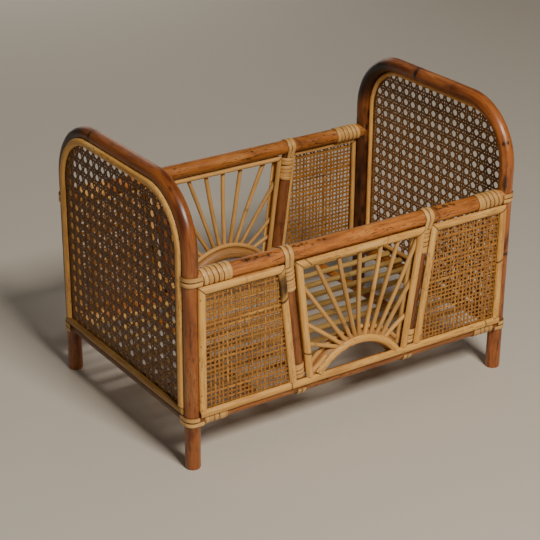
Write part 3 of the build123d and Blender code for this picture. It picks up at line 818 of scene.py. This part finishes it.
for side, sign, end, way in corners_of_cot:
    bay = (side, end)
    low_z, high_z = strip_low - cane_tuck, strip_high + cane_tuck
    post = half_length - post_gap + cane_tuck
    inner = strut_at(bay, high_z, struts[bay][2] - cane_tuck)
    slope = (math.cos(lean(bay)), -math.sin(lean(bay)))
    walls = [((0, low_z), (0, 1)), ((0, high_z), (0, -1)), ((post, 0), (-1, 0)),
             ((inner, high_z), slope)]
    bag = Bag()
    draw = np.random.default_rng(500 + 10 * sign + way)
    for i in range(int(cane_wide / cane_pitch)):
        x = post - (i + 0.4) * cane_pitch + draw.normal(0, 0.3 * mm)
        span = clip_line((x, 0), (0, 1), walls)
        if span is None:
            continue
        z = np.arange(*span, cane_pitch / 4)
        out = cane_mid + cane_swing * (-1) ** i * np.cos(np.pi * (z - low_z) / cane_pitch)
        drift = wander(z, 0.25 * mm, 0.09, 700 + i + 40 * way)
        path = np.stack([way * (x + drift), sign * (half_width + out), z], axis=-1)
        cane_strand(bag, draw, sign, path, [2.0, 2.4, 2.9, 3.9], cane_painted_light[bay])
    for j in range(int(cane_high / cane_pitch)):
        z = low_z + (j + 0.5) * cane_pitch + draw.normal(0, 0.3 * mm)
        span = clip_line((0, z), (1, 0), walls)
        if span is None:
            continue
        x = np.arange(*span, cane_pitch / 4)
        crossing = (post - x) / cane_pitch - 0.4
        out = cane_mid - cane_swing * (-1) ** j * np.cos(np.pi * crossing)
        drift = wander(x, 0.25 * mm, 0.08, 900 + j + 40 * way)
        path = np.stack([way * x, sign * (half_width + out), z + drift], axis=-1)
        cane_strand(bag, draw, sign, path, [2.0, 2.4, 3.0, 4.1], cane_painted_light[bay])
    bag.build(f"{side}_{end}_woven_cane", cane_skin, "side_cane", f"{side}_{end}_cane_panel")

# ---------------------------------------- base
slat_low, slat_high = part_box("base_slats")
slat_r, slat_z = half_size("base_slats", 2), middle("base_slats", 2)
slat_count = 9
slat_span = slat_high.y - slat_r
bag = Bag()
for number, y in enumerate(np.linspace(-slat_span, slat_span, slat_count)):
    path = line((slat_low.x, y, slat_z), (slat_high.x, y, slat_z))
    rings = [(0.05 + 0.3 * rng.random(), 0.15, 0.5)]
    points, fibre, mark = pole(path, (0, 0, 1), slat_r, 120 + number, rings, count=14)
    bag.grid(points, fibre, mark, rng.uniform(-0.2, 0.1))
bag.build("base_slat_reeds", slat_skin, "slat_reed", "base_slats")

bearer_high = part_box("base_bearers")[1]
bearer_r, bearer_z = half_size("base_bearers", 2), middle("base_bearers", 2)
bearer_x = bearer_high.x - bearer_r
bag = Bag()
for x in (-bearer_x, bearer_x):
    path = line((x, -bearer_high.y, bearer_z), (x, bearer_high.y, bearer_z))
    bag.grid(*pole(path, (0, 0, 1), bearer_r, 140 + (x > 0), [(0.1, 0.2, 0.5)], count=18))
bag.build("base_bearer_poles", pole_skin, "pole", "base_bearers")

# ---------------------------------------- bindings
peel_w, peel_t = 5.8 * mm, 1.0 * mm


def helix(bag, start, along, radius, turns, pitch, gap, seed):
    """Peel wound round a pole from start, turn beside turn, the turns a small gap apart."""
    along = unit(np.asarray(along, float))
    upright = unit(np.cross(along, (0, 1, 0)))
    sideways = np.cross(along, upright)
    turn = np.linspace(0, 2 * np.pi * turns, 36 * turns)
    draw = np.random.default_rng(seed)
    # wound by hand, so no turn lies quite like the next
    wave = np.interp(turn, np.linspace(0, turn[-1], 3 * turns), draw.normal(0, 1, 3 * turns))
    radial = np.cos(turn)[:, None] * upright + np.sin(turn)[:, None] * sideways
    advance = (0.5 + np.minimum(turn / (2 * np.pi), turns - 1)) * pitch
    path = (start + radial * (radius + 0.5 * peel_t + 0.05 * mm + 0.02 * mm * wave[:, None])
            + along * (advance + 0.2 * mm * wave)[:, None])
    points, fibre = sweep(path, radial, peel(pitch - gap, peel_t, 7))
    bag.grid(points, fibre, painted_edge_shade(points, 0.45), draw.uniform(-0.08, 0.06))


for level, turns, gap in (("top", 6, 0.75 * mm), ("bottom", 5, 0.4 * mm)):
    bag = Bag()
    for _, sign, _, way in corners_of_cot:
        start = side_point(sign, way * (half_length - hoop_r - 0.5 * mm), rail_z[level], 0)
        helix(bag, start, (-way, 0, 0), rail_r[level], turns, peel_w, gap, 200 + 3 * sign + way)
    bag.build(f"{level}_rail_windings", peel_skin, "binding_peel", f"{level}_rail_wraps")

strut_turn_gap = 0.4 * mm
for level, turns, pitch, seed in (("top", 6, 4.8 * mm, 230), ("bottom", 4, 4.3 * mm, 240)):
    bag = Bag()
    for side, sign, end, way in corners_of_cot:
        foot, head = strut_ends(side, sign, end, way)
        up = unit(head - foot)
        if level == "top":
            start, along = head - up * (rail_r["top"] + 2 * mm), -up
        else:
            clear = strip_low + strip_w + 0.4 * mm - rail_z["bottom"]
            start, along = foot + up * (clear / math.cos(lean((side, end)))), up
        helix(bag, start, along, strut_r, turns, pitch, strut_turn_gap, seed + sign + way)
    bag.build(f"strut_{level}_windings", peel_skin, "binding_peel", f"strut_{level}_wraps")

strap_tip = np.array([6.9, -11.5]) * mm            # where a top strap ends: out and up from the rail
strap_gap = 0.55 * mm


def loop_outline(level):
    """Half of a loop over a rail, as (out, up) from its axis: over the rail to the strut's face."""
    radius = rail_r[level] + 0.5 * peel_t + 0.06 * mm
    turn = np.linspace(np.pi / 2, 0, 18) if level == "bottom" else np.linspace(np.pi / 2, -0.1, 22)
    round_rail = np.stack([np.cos(turn), np.sin(turn)], axis=-1) * radius
    if level == "bottom":
        return round_rail
    down = np.linspace(0, 1, 7)[1:, None]
    return np.concatenate([round_rail, round_rail[-1] * (1 - down) + strap_tip * down])


def bound(bag, path, axis, centre, width, thick, darkest):
    """A peel along a path round an axis, its crowned face away from it, with painted shade at its
    edges.
    """
    radial = unit(np.cross(np.gradient(path, axis=0), axis))
    facing = np.sign(np.sum((path - centre) * radial, axis=1, keepdims=True))
    radial = radial * np.where(facing == 0, 1, facing)
    points, fibre = sweep(path, radial, peel(width, thick, 7))
    bag.grid(points, fibre, painted_edge_shade(points, 0.6), rng.uniform(darkest, 0.06))


for level, flip in (("top", 1), ("bottom", -1)):
    half = loop_outline(level)
    outline = np.concatenate([half[::-1], (half * (-1, 1))[1:]])
    z = rail_z[level] + flip * outline[:, 1]
    at_strut = np.clip(z, rail_z["bottom"], rail_z["top"])
    tuck = 0.35 * mm * np.clip(-outline[:, 1] / (11 * mm), 0, 1)
    ripple = np.sin(3 * outline[:, 0] / rail_r[level])
    bag = Bag()
    for side, sign, end, way in corners_of_cot:
        for beside in (-1, 1):
            x = (way * strut_at((side, end), at_strut) + beside * (0.5 * peel_w - tuck)
                 + 0.3 * mm * beside * ripple)
            path = np.stack([x, sign * (half_width + outline[:, 0]), z], axis=-1)
            bound(bag, path, (1.0, 0, 0), (0, sign * half_width, rail_z[level]),
                  peel_w - strap_gap, peel_t, -0.05)
    bag.build(f"strut_{level}_loops", peel_skin, "binding_peel", f"strut_{level}_straps")

# two bands round each leg at a rail: from the side, round the outer quarter, to the end; short
# where a strip is in the way
band_r = rail_r["top"] + 0.55 * mm
band_rise, band_width = 2.6 * mm, 4.7 * mm
long_leg, short_leg = hoop_r + 0.4 * mm, post_gap - strip_w - 0.2 * mm
quarter = np.linspace(0, np.pi / 2, 14)
for level in ("top", "bottom"):
    bag = Bag()
    for _, sign, _, way in corners_of_cot:
        for up in (-1, 1):
            side_leg = short_leg if (level, up) == ("bottom", 1) else long_leg
            end_leg = long_leg if level == "bottom" else short_leg
            inward = np.array([(side_leg * (1 - t), -band_r) for t in np.linspace(0, 1, 5)[:-1]]
                              + [(-band_r * math.sin(a), -band_r * math.cos(a)) for a in quarter]
                              + [(-band_r, end_leg * t) for t in np.linspace(0, 1, 4)[1:]])
            bulge = up * 0.25 * mm * np.sin(np.linspace(0, np.pi, len(inward)))
            path = np.stack([way * (half_length - inward[:, 0]), sign * (half_width - inward[:, 1]),
                             rail_z[level] + up * band_rise + bulge], axis=-1)
            bound(bag, path, (0, 0, 1.0), (way * half_length, sign * half_width, 0),
                  band_width, 0.9 * peel_t, -0.06)
    bag.build(f"{level}_post_peels", peel_skin, "binding_peel", f"{level}_post_bands")

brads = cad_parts["trim_brads"]
brads.data.materials.clear()
brads.data.materials.append(steel())

# ---------------------------------------- floor, light and camera
floor_paint, tree, shader = new_material("pale_floor")
feed(tree, shader, {"Base Color": (0.62, 0.575, 0.51, 1), "Roughness": 0.85})
reach = 6.0                                        # the floor's half width
ground = bpy.data.meshes.new("floor")
ground.from_pydata([(-reach, -reach, 0), (reach, -reach, 0), (reach, reach, 0), (-reach, reach, 0)],
                   [], [(0, 1, 2, 3)])
ground.materials.append(floor_paint)
floor = bpy.data.objects.new("floor", ground)
bpy.context.scene.collection.objects.link(floor)
floor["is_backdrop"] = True


aim = Vector((0, 0, 0.15))                         # about the middle of the cot


def area_light(name, place, size, power, tint):
    data = bpy.data.lights.new(name, "AREA")
    data.shape = "SQUARE"
    data.size = size
    data.energy = power
    data.color = tint
    lamp = bpy.data.objects.new(name, data)
    lamp.location = place
    lamp.rotation_euler = (aim - Vector(place)).to_track_quat("-Z", "Y").to_euler()
    bpy.context.scene.collection.objects.link(lamp)


area_light("key", (-0.15, -1.75, 1.85), 0.6, 58, (1.0, 0.92, 0.8))
area_light("fill", (-1.6, -1.2, 1.0), 1.4, 0.8, (1.0, 0.94, 0.85))
area_light("back", (0.5, 2.0, 0.6), 1.4, 7, (1.0, 0.93, 0.83))
world = bpy.data.worlds.new("studio")
world.use_nodes = True
feed(world.node_tree, world.node_tree.nodes["Background"],
     {"Color": (1.0, 0.93, 0.82, 1), "Strength": 0.07})
bpy.context.scene.world = world

# the camera was fitted to the photograph's legs, hoops and rails, its focal length in pixels
focal_length, image_width, sensor_width = 1574.5, 540, 36
camera_place = Vector((-0.9034, -1.3064, 0.8478))
azimuth, elevation, roll = math.radians(34.035), math.radians(24.609), math.radians(0.399)
forward = Vector((math.sin(azimuth) * math.cos(elevation), math.cos(azimuth) * math.cos(elevation),
                  -math.sin(elevation)))
right = forward.cross(Vector((0, 0, 1))).normalized()
up = right.cross(forward)
tilted_right = math.cos(roll) * right + math.sin(roll) * up
tilted_up = -math.sin(roll) * right + math.cos(roll) * up
lens = bpy.data.cameras.new("camera")
lens.sensor_width = sensor_width
lens.lens = sensor_width * focal_length / image_width
lens.clip_start, lens.clip_end = 0.05, 50
camera = bpy.data.objects.new("camera", lens)
turned = Matrix((tilted_right, tilted_up, -forward)).transposed().to_4x4()
camera.matrix_world = Matrix.Translation(camera_place) @ turned
bpy.context.scene.collection.objects.link(camera)
bpy.context.scene.camera = camera

low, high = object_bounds()
